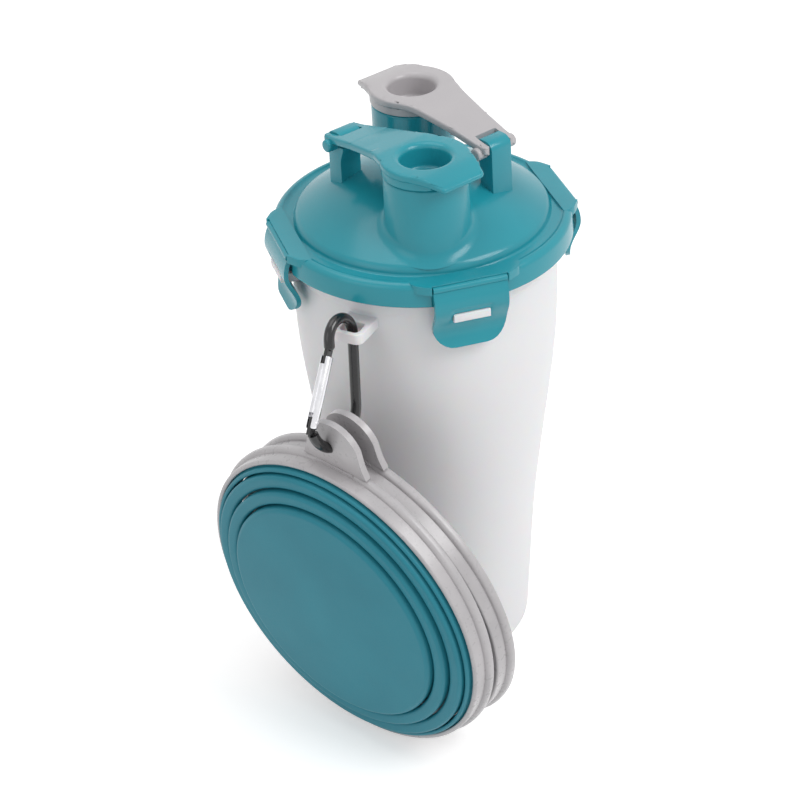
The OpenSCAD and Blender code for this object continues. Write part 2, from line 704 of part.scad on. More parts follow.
module rear_bowl_lower_ring() { color(grey) at_rear_bowl() step_ring(lower_r, ring_w, lower_top); }
module rear_bowl_base() { color(grey) at_rear_bowl() bowl_base(); }

container();
lid();
lid_gasket();
divider_seal();
latch_front();
latch_right();
latch_back();
latch_left();
front_cap();
front_cap_seal();
back_cap();
back_cap_seal();
carabiner_body();
carabiner_gate();
gate_pin();
gate_spring();
front_bowl_rim();
front_bowl_collar();
front_bowl_upper_ring();
front_bowl_lower_ring();
front_bowl_base();
rear_bowl_rim();
rear_bowl_collar();
rear_bowl_upper_ring();
rear_bowl_lower_ring();
rear_bowl_base();
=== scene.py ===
import math

import bmesh
import bpy
from mathutils import Euler, Matrix, Vector


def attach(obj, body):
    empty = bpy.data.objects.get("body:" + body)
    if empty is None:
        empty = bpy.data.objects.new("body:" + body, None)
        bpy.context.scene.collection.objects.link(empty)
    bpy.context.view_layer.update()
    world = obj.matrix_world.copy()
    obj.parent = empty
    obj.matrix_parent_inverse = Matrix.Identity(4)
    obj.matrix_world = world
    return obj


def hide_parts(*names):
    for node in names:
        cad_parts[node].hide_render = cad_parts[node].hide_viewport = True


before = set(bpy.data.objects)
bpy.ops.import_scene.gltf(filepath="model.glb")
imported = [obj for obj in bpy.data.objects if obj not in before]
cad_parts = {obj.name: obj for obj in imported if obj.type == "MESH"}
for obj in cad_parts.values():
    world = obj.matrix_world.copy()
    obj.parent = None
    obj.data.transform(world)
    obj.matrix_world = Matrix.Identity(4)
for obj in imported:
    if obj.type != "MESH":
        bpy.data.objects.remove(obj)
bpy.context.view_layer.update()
scene = bpy.context.scene
scene.view_settings.view_transform = "Standard"

camera = {
    "target": (0, 0, 0.12), "distance": 0.95416, "lens": 109.61, "sensor": 36,
    "right": (0.95090591, -0.30698132, -0.03924816),
    "up": (0.19726828, 0.50305446, 0.8414401),
    "back": (-0.23856243, -0.80787278, 0.53891513),
    "shift": (-0.0372, -0.03686),
}


def makeCamera(c):
    data = bpy.data.cameras.new("camera")
    obj = bpy.data.objects.new("camera", data)
    scene.collection.objects.link(obj)
    turn = Matrix((c["right"], c["up"], c["back"])).transposed()
    place = Vector(c["target"]) + Vector(c["back"]) * c["distance"]
    obj.matrix_world = Matrix.Translation(place) @ turn.to_4x4()
    data.sensor_width = c["sensor"]
    data.lens = c["lens"]
    data.shift_x, data.shift_y = c["shift"]
    data.clip_start, data.clip_end = 0.01, 50
    scene.camera = obj


makeCamera(camera)
print("camera made")


def nodeGroup(name, inputs, outputs):
    group = bpy.data.node_groups.new(name, "ShaderNodeTree")
    for label, kind, value in inputs:
        socket = group.interface.new_socket(label, in_out="INPUT", socket_type=kind)
        if value is not None:
            socket.default_value = value
    for label, kind in outputs:
        group.interface.new_socket(label, in_out="OUTPUT", socket_type=kind)
    return group, group.nodes.new("NodeGroupInput"), group.nodes.new("NodeGroupOutput")


def makeMottle():
    # a soft cloudy change of colour and a fine grain, for moulded plastic, silicone and metal
    group, inside, outside = nodeGroup(
        "mouldedSurface",
        [("Cloud Scale", "NodeSocketFloat", 30.0), ("Grain Scale", "NodeSocketFloat", 900.0),
         ("Grain Depth", "NodeSocketFloat", 0.1), ("Stretch", "NodeSocketVector", (1.0, 1.0, 1.0))],
        [("Cloud", "NodeSocketFloat"), ("Grain", "NodeSocketFloat"), ("Normal", "NodeSocketVector")])
    nodes, links = group.nodes, group.links
    coords = nodes.new("ShaderNodeTexCoord")
    stretch = nodes.new("ShaderNodeVectorMath")
    stretch.operation = "MULTIPLY"
    links.new(coords.outputs["Object"], stretch.inputs[0])
    links.new(inside.outputs["Stretch"], stretch.inputs[1])
    cloud = nodes.new("ShaderNodeTexNoise")
    cloud.inputs["Detail"].default_value = 3
    links.new(stretch.outputs[0], cloud.inputs["Vector"])
    links.new(inside.outputs["Cloud Scale"], cloud.inputs["Scale"])
    grain = nodes.new("ShaderNodeTexNoise")
    grain.inputs["Detail"].default_value = 4
    links.new(coords.outputs["Object"], grain.inputs["Vector"])
    links.new(inside.outputs["Grain Scale"], grain.inputs["Scale"])
    bump = nodes.new("ShaderNodeBump")
    bump.inputs["Distance"].default_value = 0.0002
    links.new(grain.outputs["Fac"], bump.inputs["Height"])
    links.new(inside.outputs["Grain Depth"], bump.inputs["Strength"])
    links.new(cloud.outputs["Fac"], outside.inputs["Cloud"])
    links.new(grain.outputs["Fac"], outside.inputs["Grain"])
    links.new(bump.outputs["Normal"], outside.inputs["Normal"])
    return group


mouldedSurface = makeMottle()


def makeFinish(name, s):
    material = bpy.data.materials.new(name)
    material.use_nodes = True
    nodes, links = material.node_tree.nodes, material.node_tree.links
    shader = nodes["Principled BSDF"]
    surface = nodes.new("ShaderNodeGroup")
    surface.node_tree = mouldedSurface
    surface.inputs["Cloud Scale"].default_value = s["cloudScale"]
    surface.inputs["Grain Scale"].default_value = s["grainScale"]
    surface.inputs["Grain Depth"].default_value = s["grainDepth"]
    surface.inputs["Stretch"].default_value = s.get("stretch", (1, 1, 1))
    ramp = nodes.new("ShaderNodeValToRGB")
    ramp.color_ramp.elements[0].position = 0.3
    ramp.color_ramp.elements[0].color = (*s["dark"], 1)
    ramp.color_ramp.elements[1].position = 0.7
    ramp.color_ramp.elements[1].color = (*s["light"], 1)
    links.new(surface.outputs["Cloud"], ramp.inputs["Fac"])
    links.new(ramp.outputs["Color"], shader.inputs["Base Color"])
    rough = nodes.new("ShaderNodeMapRange")
    rough.inputs["To Min"].default_value = s["rough"][0]
    rough.inputs["To Max"].default_value = s["rough"][1]
    links.new(surface.outputs["Grain"], rough.inputs["Value"])
    links.new(rough.outputs["Result"], shader.inputs["Roughness"])
    links.new(surface.outputs["Normal"], shader.inputs["Normal"])
    for socket, value in s.get("plain", {}).items():
        shader.inputs[socket].default_value = value
    return material


finishes = {
    "frosted": {
        "light": (0.86, 0.845, 0.86), "dark": (0.80, 0.785, 0.80), "rough": (0.38, 0.5),
        "cloudScale": 9, "stretch": (1, 1, 0.25), "grainScale": 1600, "grainDepth": 0.12,
        "plain": {"Subsurface Weight": 0.25, "Subsurface Scale": 0.004},
    },
    "glossyTeal": {
        "light": (0.020, 0.315, 0.385), "dark": (0.016, 0.275, 0.345), "rough": (0.2, 0.28),
        "cloudScale": 22, "grainScale": 700, "grainDepth": 0.05,
        "plain": {"Specular IOR Level": 0.35, "Coat Weight": 0.12, "Coat Roughness": 0.1},
    },
    "siliconeTeal": {
        "light": (0.022, 0.235, 0.305), "dark": (0.018, 0.205, 0.27), "rough": (0.42, 0.52),
        "cloudScale": 28, "grainScale": 1300, "grainDepth": 0.15,
        "plain": {"Specular IOR Level": 0.3},
    },
    "glossyGrey": {
        "light": (0.50, 0.48, 0.49), "dark": (0.45, 0.43, 0.445), "rough": (0.26, 0.36),
        "cloudScale": 24, "grainScale": 800, "grainDepth": 0.06,
    },
    "rimGrey": {
        "light": (0.52, 0.50, 0.51), "dark": (0.44, 0.425, 0.435), "rough": (0.22, 0.36),
        "cloudScale": 70, "grainScale": 500, "grainDepth": 0.12,
        "plain": {"Coat Weight": 0.15, "Coat Roughness": 0.15},
    },
    "siliconeGrey": {
        "light": (0.52, 0.50, 0.51), "dark": (0.46, 0.44, 0.45), "rough": (0.4, 0.5),
        "cloudScale": 28, "grainScale": 1300, "grainDepth": 0.15,
    },
    "blackPaint": {
        "light": (0.012, 0.012, 0.013), "dark": (0.006, 0.006, 0.007), "rough": (0.14, 0.24),
        "cloudScale": 90, "grainScale": 900, "grainDepth": 0.1,
        "plain": {"Coat Weight": 0.3, "Coat Roughness": 0.08},
    },
    "gateMetal": {
        "light": (0.80, 0.80, 0.82), "dark": (0.66, 0.66, 0.69), "rough": (0.18, 0.3),
        "cloudScale": 300, "stretch": (1, 1, 0.1), "grainScale": 1500, "grainDepth": 0.1,
        "plain": {"Metallic": 1.0},
    },
    "brightSteel": {
        "light": (0.74, 0.74, 0.76), "dark": (0.62, 0.62, 0.65), "rough": (0.22, 0.34),
        "cloudScale": 400, "grainScale": 2000, "grainDepth": 0.1,
        "plain": {"Metallic": 1.0},
    },
    "sealWhite": {
        "light": (0.80, 0.79, 0.77), "dark": (0.72, 0.71, 0.70), "rough": (0.45, 0.6),
        "cloudScale": 40, "grainScale": 1500, "grainDepth": 0.2,
    },
}
finish = {name: makeFinish(name, s) for name, s in finishes.items()}
print("finishes made:", len(finish))


# The shapes below are built in millimetres, and addPiece scales them to metres
def shift(x, y, z):
    return Matrix.Translation((x, y, z))


def turnAbout(axis, degrees):
    return Matrix.Rotation(math.radians(degrees), 4, axis)


def move(bm, matrix):
    bmesh.ops.transform(bm, matrix=matrix, verts=bm.verts)


def wire(bm, points, closed=False):
    # a chain of points in a plane; a fourth number rounds the corner there
    verts = [bm.verts.new(p[:3]) for p in points]
    edges = [bm.edges.new(pair) for pair in zip(verts, verts[1:])]
    if closed:
        edges.append(bm.edges.new((verts[-1], verts[0])))
    for vert, point in zip(verts, points):
        if len(point) > 3 and point[3]:
            bmesh.ops.bevel(bm, geom=[vert], offset=point[3], offset_type="OFFSET", segments=6,
                            profile=0.5, affect="VERTICES", material=-1, clamp_overlap=True)


def turned(points, steps=128):
    # points are (radius, height, rounding); the closed profile is spun about the Z axis
    bm = bmesh.new()
    wire(bm, [(p[0], 0, p[1], p[2] if len(p) > 2 else 0) for p in points], True)
    bmesh.ops.spin(bm, geom=bm.verts[:] + bm.edges[:], cent=(0, 0, 0), axis=(0, 0, 1), angle=math.tau,
                   steps=steps, use_merge=True)
    bmesh.ops.remove_doubles(bm, verts=bm.verts, dist=0.002)
    bmesh.ops.dissolve_degenerate(bm, edges=bm.edges, dist=0.0005)
    return bm


def sheetFace(outlines):
    # fills the area between closed outlines of (x, y, rounding) with faces
    bm = bmesh.new()
    for outline in outlines:
        wire(bm, [(p[0], p[1], 0, p[2] if len(p) > 2 else 0) for p in outline], True)
    bmesh.ops.triangle_fill(bm, use_beauty=True, use_dissolve=False, edges=bm.edges)
    return bm


def ringPoints(x, y, radius, count=48):
    return [(x + radius * math.cos(math.tau * i / count), y + radius * math.sin(math.tau * i / count))
            for i in range(count)]


def arcPoints(y, radius, angles):
    # points of an arc about (0, y), with sharp corners
    return [(radius * math.cos(math.radians(a)), y + radius * math.sin(math.radians(a)), 0) for a in angles]


def thicken(bm, depth):
    # gives a flat face depth along Z, downwards for a negative depth
    made = bmesh.ops.extrude_face_region(bm, geom=bm.faces[:])["geom"]
    verts = [g for g in made if isinstance(g, bmesh.types.BMVert)]
    bmesh.ops.translate(bm, vec=(0, 0, depth), verts=verts)


def slab(outlines, depth):
    # a plate of this outline, with its middle in the plane
    bm = sheetFace(outlines)
    thicken(bm, depth)
    move(bm, shift(0, 0, -depth / 2))
    return bm


def sweep(bm, steps):
    # draws the mesh's one face out to a closed bar, by one move after the other
    end = bm.faces[:][0]
    for index, step in enumerate(steps):
        made = bmesh.ops.extrude_face_region(bm, geom=[end])["geom"]
        if index:
            bm.faces.remove(end)
        end = [g for g in made if isinstance(g, bmesh.types.BMFace)][0]
        verts = [g for g in made if isinstance(g, bmesh.types.BMVert)]
        bmesh.ops.transform(bm, matrix=step, verts=verts)


def cutStrips(bm, axis, low, high, step):
    # cuts the mesh into strips so that it can be bent
    normal = Vector([1 if i == axis else 0 for i in range(3)])
    at = low
    while at < high:
        bmesh.ops.bisect_plane(bm, geom=bm.verts[:] + bm.edges[:] + bm.faces[:], dist=1e-4,
                               plane_co=normal * at, plane_no=normal)
        at += step


def roundEdges(bm, offset, angle=40, segments=3, only=None, clamp=True):
    # rounds the edges that turn by more than the angle
    edges = [e for e in bm.edges if e.is_manifold and e.calc_face_angle() > math.radians(angle)
             and (only is None or only(e))]
    bmesh.ops.bevel(bm, geom=edges, offset=offset, offset_type="OFFSET", segments=segments, profile=0.5,
                    affect="EDGES", material=-1, clamp_overlap=clamp)


def box(low, high):
    bm = bmesh.new()
    bmesh.ops.create_cube(bm, size=1)
    bmesh.ops.scale(bm, vec=[b - a for a, b in zip(low, high)], verts=bm.verts)
    bmesh.ops.translate(bm, vec=[(a + b) / 2 for a, b in zip(low, high)], verts=bm.verts)
    return bm


def rod(radius, length, segments=48):
    bm = bmesh.new()
    bmesh.ops.create_cone(bm, cap_ends=True, segments=segments, radius1=radius, radius2=radius,
                          depth=length)
    return bm


def meshFrom(bm, name):
    mesh = bpy.data.meshes.new(name)
    bm.to_mesh(mesh)
    bm.free()
    return mesh


def joined(parts):
    # puts several closed shapes into one mesh
    bm = bmesh.new()
    for part in parts:
        mesh = meshFrom(part, "part")
        bm.from_mesh(mesh)
        bpy.data.meshes.remove(mesh)
    return bm


def combined(base, tool, operation):
    # a solid union or difference of two shapes
    objects = []
    for part in (base, tool):
        bmesh.ops.recalc_face_normals(part, faces=part.faces)
        obj = bpy.data.objects.new("part", meshFrom(part, "part"))
        scene.collection.objects.link(obj)
        objects.append(obj)
    modifier = objects[0].modifiers.new("cut", "BOOLEAN")
    modifier.operation = operation
    modifier.solver = "EXACT"
    modifier.use_self = operation == "UNION"
    modifier.object = objects[1]
    bpy.context.view_layer.update()
    result = objects[0].evaluated_get(bpy.context.evaluated_depsgraph_get()).to_mesh()
    bm = bmesh.new()
    bm.from_mesh(result)
    for obj in objects:
        mesh = obj.data
        bpy.data.objects.remove(obj)
        bpy.data.meshes.remove(mesh)
    bmesh.ops.remove_doubles(bm, verts=bm.verts, dist=0.001)
    return bm


def addPiece(bm, name, body, look, replaces=(), place=None, sharp=35):
    # edges that turn by more than the sharp angle stay sharp in the shading
    if place:
        move(bm, place)
    bmesh.ops.scale(bm, vec=(0.001, 0.001, 0.001), verts=bm.verts)
    bmesh.ops.remove_doubles(bm, verts=bm.verts, dist=1e-6)
    bmesh.ops.recalc_face_normals(bm, faces=bm.faces)
    for face in bm.faces:
        face.smooth = True
    for edge in bm.edges:
        edge.smooth = not (edge.is_manifold and edge.calc_face_angle() > math.radians(sharp))
    obj = bpy.data.objects.new(name, meshFrom(bm, name))
    scene.collection.objects.link(obj)
    obj.data.materials.append(finish[look])
    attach(obj, body)
    if replaces:
        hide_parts(*replaces)


def frameAt(place, degrees):
    return Matrix.Translation(place) @ Euler([math.radians(d) for d in degrees], "XYZ").to_matrix().to_4x4()


def easeStep(x, low, high):
    t = min(max((x - low) / (high - low), 0), 1)
    return t * t * (3 - 2 * t)


upright = turnAbout("X", 90)
latchTurns = {"latch_front": -90, "latch_right": 0, "latch_back": 90, "latch_left": 180}

container = {
    "footR": 36, "lowSlope": 0.063, "flareSlope": 0.135, "waistZ": 65, "neckZ": 142, "bendSoft": 8,
    "wall": 2, "floor": 2.5, "footRound": 7, "cornerRound": 5, "edgeRound": 0.5,
    "rimZ": 187.4, "flangeR": 52.986, "flangeH": 3.4, "stepZ": 176, "step": 0.25,
    "dividerTurn": -102.8, "dividerT": 2, "dividerTop": 187.1, "dividerNeckZ": 183.5, "dividerNeckR": 46,
    "lugW": 13.8, "lugTop": 179.7, "lugH": 3.8, "lugTip": 57.99, "lugRise": 0.4,
    "eyeTurn": -134.1, "eyeZ": 171.7, "eyeH": 4.4, "eyeW": 12, "eyeOut": 64.0, "eyeRound": 3,
    "holeOut": 62.2, "holeW": 6.9, "holeL": 7.5, "holeRound": 1.5,
}


def softRamp(x, soft):
    return soft * math.log(1 + math.exp(x / soft))


def wallRadius(z):
    # the wall leans out slowly, faster above the waist, and stands straight above the neck
    c = container
    flare = (c["flareSlope"] - c["lowSlope"]) * softRamp(z - c["waistZ"], c["bendSoft"])
    straighten = c["flareSlope"] * softRamp(z - c["neckZ"], c["bendSoft"])
    return c["footR"] + c["lowSlope"] * z + flare - straighten


def makeContainer():
    c = container
    neck, stepR, flangeZ = wallRadius(c["rimZ"]), wallRadius(c["stepZ"]), c["rimZ"] - c["flangeH"]
    outer = [(wallRadius(0) - 0.2, 0, c["footRound"])]
    outer += [(wallRadius(z), z) for z in range(12, 174, 4)]
    outer += [(stepR, c["stepZ"] - 0.4, 0.2), (stepR + c["step"], c["stepZ"] + 0.1, 0.2),
              (neck + c["step"], flangeZ - 0.1, 0.5), (c["flangeR"], flangeZ + 0.3, 0.6),
              (c["flangeR"], c["rimZ"], 0.6), (neck - c["wall"], c["rimZ"], 0.5)]
    inner = [(wallRadius(z) - c["wall"], z) for z in range(176, 11, -4)]
    inner += [(wallRadius(4) - c["wall"], c["floor"], c["cornerRound"]), (0, c["floor"])]
    shell = turned([(0, 0)] + outer + inner, 144)
    addPiece(shell, "bottleBody", "container", "frosted", ["container"])


def makeDivider():
    c = container
    divider = bmesh.new()
    bmesh.ops.create_grid(divider, x_segments=1, y_segments=44, size=1)
    low = c["floor"] - 1
    for vert in divider.verts:
        height = low + (vert.co.y + 1) / 2 * (c["dividerTop"] - low)
        reach = c["dividerNeckR"]
        if height < c["dividerNeckZ"]:
            reach = wallRadius(max(height, 5)) - c["wall"] / 2
        vert.co = (vert.co.x * reach, height, 0)
    thicken(divider, c["dividerT"])
    move(divider, shift(0, 0, -c["dividerT"] / 2))
    addPiece(divider, "bottleDivider", "container", "frosted",
             place=turnAbout("Z", c["dividerTurn"] + 90) @ upright)


def makeLugs():
    c = container
    neck, low = wallRadius(c["rimZ"]), c["lugTop"] - c["lugH"]
    lugs = []
    for turn in latchTurns.values():
        lug = slab([[(neck - 1, low, 0), (neck + 2, low, 0.6), (c["lugTip"], low + c["lugRise"], 0.6),
                     (c["lugTip"], c["lugTop"], 0.8), (neck - 1, c["lugTop"], 0)]], c["lugW"])
        roundEdges(lug, c["edgeRound"], 50)
        move(lug, turnAbout("Z", turn) @ upright)
        lugs.append(lug)
    addPiece(joined(lugs), "bottleLugs", "container", "frosted")


def makeEye():
    c = container
    root, half = wallRadius(c["rimZ"]) - 1.4, c["eyeW"] / 2
    holeIn, hole = c["holeOut"] - c["holeW"], c["holeL"] / 2
    eye = sheetFace([[(root, -half, 0), (c["eyeOut"], -half, c["eyeRound"]),
                      (c["eyeOut"], half, c["eyeRound"]), (root, half, 0)],
                     [(holeIn, -hole, c["holeRound"]), (c["holeOut"], -hole, c["holeRound"]),
                      (c["holeOut"], hole, c["holeRound"]), (holeIn, hole, c["holeRound"])]])
    thicken(eye, c["eyeH"])
    roundEdges(eye, c["edgeRound"], 50)
    addPiece(eye, "bottleEye", "container", "frosted",
             place=turnAbout("Z", c["eyeTurn"]) @ shift(0, 0, c["eyeZ"] - c["eyeH"] / 2))


makeContainer()
makeDivider()
makeLugs()
makeEye()
print("container made")

lid = {
    "outR": 56.786, "top": 192.1, "skirtIn": 53.386, "skirtZ": 182.8, "edgeIn": 53.486,
    "deckTop": 191.2, "deckZ": 189.2, "plugR": 48.186, "plugIn": 46.386, "plugZ": 184,
    "shoulderR": 47.886, "shoulderZ": 194.1, "domeR": 82, "domeZ": 127.535, "domeT": 2,
    "spoutD": 29.44, "spoutTurn": -102.8, "spoutR": 15.65, "boreR": 12.6, "spoutTop": 223.6,
    "boreZ": 214, "boreL": 60, "capTurn": 112.9, "capArm": 46.05, "pinZ": 220.1,
    "hookR": 4.3, "postW": 9.4, "postFoot": 188, "postRound": 0.55, "mouth": 1.35,
    "wingIn": 49, "wingBend": 52.6, "wingHalf": 21, "wingT": 3.3, "wingRound": 0.7, "wingPast": 1.1,
    "barrelD": 55.986, "barrelZ": 190.3, "barrelR": 1.25, "flapW": 28,
    "roomIn": 54.62, "roomGap": 0.3, "ledge": 0.2, "seatGap": 0.06,
}


def domeHeight(x, y):
    return lid["domeZ"] + math.sqrt(lid["domeR"] ** 2 - x * x - y * y)


def domeArc(radius, angles):
    # points of the dome's profile, angles from its crown
    return [(radius * math.sin(math.radians(a)), lid["domeZ"] + radius * math.cos(math.radians(a)))
            for a in angles]


def atSpout(i):
    turn = math.radians(lid["spoutTurn"])
    return turnAbout("Z", 180 * i) @ shift(lid["spoutD"] * math.cos(turn), lid["spoutD"] * math.sin(turn), 0)


def atCap(i):
    return atSpout(i) @ turnAbout("Z", lid["capTurn"])


def makeSpout(i):
    # heights of the foot are measured from the dome, which it follows in a small fillet
    c = lid
    foot = [(c["spoutR"], 3.2), (c["spoutR"] + 0.25, 1.9), (c["spoutR"] + 0.8, 0.95),
            (c["spoutR"] + 1.7, 0.3), (c["spoutR"] + 3.2, -0.06), (c["spoutR"] + 1.5, -1.2)]
    spout = turned([(c["boreR"], -3), (c["boreR"], c["spoutTop"], 0.6), (c["spoutR"], c["spoutTop"], 0.9)]
                   + foot, 96)
    move(spout, atSpout(i))
    for vert in spout.verts:
        if vert.co.z < 10:
            vert.co.z += domeHeight(vert.co.x, vert.co.y)
    return spout


def makePost(i):
    # the block that carries the cap's hinge pin, with a mouth on its inner side
    c = lid
    x, z, r, foot, mouth = c["capArm"], c["pinZ"], c["hookR"], c["postFoot"], c["mouth"]
    lip = x - r + 0.1
    outline = [(x - r / 2 - 0.4, foot, 0), (x - r / 2 - 0.2, z - 6.5, 2.5), (lip, z - 2.6, 1.2),
               (lip, z - 1.2, 0.4), (x - 1, z - mouth, 0), (x + 0.9, z - mouth, 1.2),
               (x + 0.9, z + mouth, 1.2), (lip, z + mouth, 0.4), (x - r + 0.4, z + r, 2.8),
               (x + r, z + r, 3.4), (x + r, z - 8, 3), (x + r + 0.5, foot, 0)]
    post = slab([outline], c["postW"])
    roundEdges(post, c["postRound"], 60)
    move(post, atCap(i) @ upright)
    return post


def makeWing(turn):
    # the flat ledge that widens the ring towards a latch
    c = lid
    half, wide = c["flapW"] / 2 + 0.35, c["wingHalf"]
    tip, edge = c["barrelD"] + c["wingPast"], c["barrelD"] - c["ledge"]
    outline = [(c["wingIn"], -wide, 0), (c["wingBend"], -wide, 3), (tip, -half, 0.8), (edge, -half, 0),
               (edge, half, 0), (tip, half, 0.8), (c["wingBend"], wide, 3), (c["wingIn"], wide, 0)]
    wing = sheetFace([outline])
    thicken(wing, c["wingT"])
    roundEdges(wing, c["wingRound"], 60, only=lambda e: all(v.co.x > 52 and v.co.z > 3 for v in e.verts))
    move(wing, turnAbout("Z", turn) @ shift(0, 0, c["top"] - c["wingT"]))
    return wing


def makeRoom(turn):
    # the space for a flap, in the skirt and above its hinge
    c = lid
    low, high, far, edge = c["skirtZ"] - 1, 200, 70, c["barrelD"] - c["ledge"]
    room = slab([[(c["roomIn"], low), (far, low), (far, high), (edge, high), (edge, c["barrelZ"]),
                  (c["roomIn"], c["barrelZ"])]], c["flapW"] + 2 * c["roomGap"])
    move(room, turnAbout("Z", turn) @ upright)
    return room


def makeSeat(turn):
    c = lid
    seat = rod(c["barrelR"] + c["seatGap"], c["flapW"] + 2 * c["roomGap"], 32)
    move(seat, turnAbout("Z", turn) @ shift(c["barrelD"], 0, c["barrelZ"]) @ upright)
    return seat


def makeBore(i):
    bore = rod(lid["boreR"], lid["boreL"], 96)
    move(bore, atSpout(i) @ shift(0, 0, lid["boreZ"]))
    return bore


def makeLid():
    c = lid
    span = math.degrees(math.asin(c["shoulderR"] / c["domeR"]))
    hollowR = c["domeR"] - c["domeT"]
    hollowSpan = math.degrees(math.asin(c["plugIn"] / hollowR))
    edge = [(c["skirtIn"], c["skirtZ"], 0.5), (c["outR"], c["skirtZ"], 0.7), (c["outR"] - 0.6, c["top"], 2.4),
            (c["edgeIn"], c["top"], 1.0), (c["edgeIn"] - 1.0, c["deckTop"], 0.8),
            (c["shoulderR"] + 0.5, c["deckTop"], 0.8), (c["shoulderR"] + 0.05, c["shoulderZ"] - 0.05, 1.6)]
    dome = domeArc(c["domeR"], [span * (1 - k / 30) for k in range(1, 31)])
    hollow = domeArc(hollowR, [hollowSpan * k / 16 for k in range(17)])
    plug = [(c["plugIn"], c["plugZ"]), (c["plugR"], c["plugZ"], 0.5), (c["plugR"], c["deckZ"]),
            (c["skirtIn"], c["deckZ"])]
    shell = turned(edge + dome + hollow + plug, 144)
    turns = latchTurns.values()
    shell = combined(shell, joined([makeBore(i) for i in (0, 1)]), "DIFFERENCE")
    shell = combined(shell, joined([makeSpout(i) for i in (0, 1)]), "UNION")
    shell = combined(shell, joined([makePost(i) for i in (0, 1)]), "UNION")
    shell = combined(shell, joined([makeWing(turn) for turn in turns]), "UNION")
    shell = combined(shell, joined([makeRoom(turn) for turn in turns]), "DIFFERENCE")
    shell = combined(shell, joined([makeSeat(turn) for turn in turns]), "DIFFERENCE")
    addPiece(shell, "lidShell", "lid", "glossyTeal", ["lid"], sharp=32)


makeLid()
print("lid made")

latch = {
    "width": 28, "length": 25.6, "thick": 1.8, "corner": 8, "rise": 0.9, "barrelR": 1.25, "edgeRound": 0.4,
    "slotW": 14.4, "slotTop": 10.3, "slotH": 4.4, "slotRound": 1.5, "recess": 0.45, "recessH": 2.1,
    "bellyS": 8, "bellyOut": 2.35, "bellyRise": 0.035, "lipWave": 2.1, "waveTurn": 15,
}


def bow(s):
    # how far the flap stands out, at the distance s down from its hinge
    c = latch
    past = s - c["bellyS"]
    if past < 0:
        return c["bellyOut"] - c["bellyRise"] * past ** 2
    return c["bellyOut"] - c["lipWave"] * (1 - math.cos(math.radians(c["waveTurn"] * past)))


def makeLatch(name, turn):
    c = latch
    half, slotHalf = c["width"] / 2, c["slotW"] / 2
    high, low, r = c["slotTop"], c["slotTop"] + c["slotH"], c["slotRound"]
    flap = sheetFace([[(-half, c["rise"], 0.5), (half, c["rise"], 0.5), (half, -c["length"], c["corner"]),
                       (-half, -c["length"], c["corner"])],
                      [(-slotHalf, -high, r), (slotHalf, -high, r), (slotHalf, -low, r),
                       (-slotHalf, -low, r)]])
    cutStrips(flap, 1, -c["length"], 0.8, 0.7)
    cutStrips(flap, 0, -half, half, 1.0)
    thicken(flap, -c["thick"])
    for vert in flap.verts:
        across, s, depth = vert.co.x, -vert.co.y, vert.co.z
        # the flap is thinner beside its hinge
        out = bow(max(s, 0)) + depth * (1 if s > 1.5 else 0.75 + 0.25 * max(s, -0.9) / 1.5)
        if depth == 0:
            # the shallow recess round the slot
            edge = easeStep(half - abs(across), half - slotHalf - 1.2, half - slotHalf + 0.6)
            band = easeStep(s, high - c["recessH"], high - c["recessH"] + 0.7)
            out -= c["recess"] * edge * band * (1 - easeStep(s, low, low + 1.2))
        vert.co = (out, across, -s)
    roundEdges(flap, c["edgeRound"], 50, 2)
    barrel = rod(c["barrelR"], c["width"], 32)
    move(barrel, upright)
    place = turnAbout("Z", turn) @ shift(lid["barrelD"], 0, lid["barrelZ"])
    addPiece(joined([flap, barrel]), name + "Flap", name, "glossyTeal", [name], place, 40)


for name, turn in latchTurns.items():
    makeLatch(name, turn)
print("latches made")

cap = {
    "top": 230.0, "thick": 3.0, "headR": 16.6, "dimpleR": 9, "lip": 2.5, "floorZ": 220.4, "edgeRound": 0.8,
    "tabReach": 21.2, "tabHalf": 9.5, "tabBend": 11, "tabThin": 0.35, "droop": 3.125,
    "armBend": 13, "armLow": 44, "armEnd": 49.65, "armHalf": 7.4, "armZ": 224.0,
    "collarR": 16.1, "collarZ": 223.9, "plugR": 12.05, "plugZ": 218.2,
    "pinR": 1.8, "pinGap": 0.3, "earR": 2.45, "earOut": 9.5, "earIn": 5.0, "webOut": 7.2, "webHalf": 2.2,
}


def capTop(x):
    # height of the plate's top along the arm: the tab droops a little and the arm falls to the hinge
    c = cap
    if x < -c["tabBend"]:
        return c["top"] - c["droop"] * (1 - easeStep(x, -c["tabReach"] - 4, -c["tabBend"]))
    if x < c["armBend"]:
        return c["top"]
    t = (x - c["armBend"]) / (c["armLow"] - c["armBend"])
    return c["top"] - (c["top"] - c["armZ"]) * (0.15 * t * t + 0.85 * t if t < 1 else 1 + (t - 1) * 0.8)


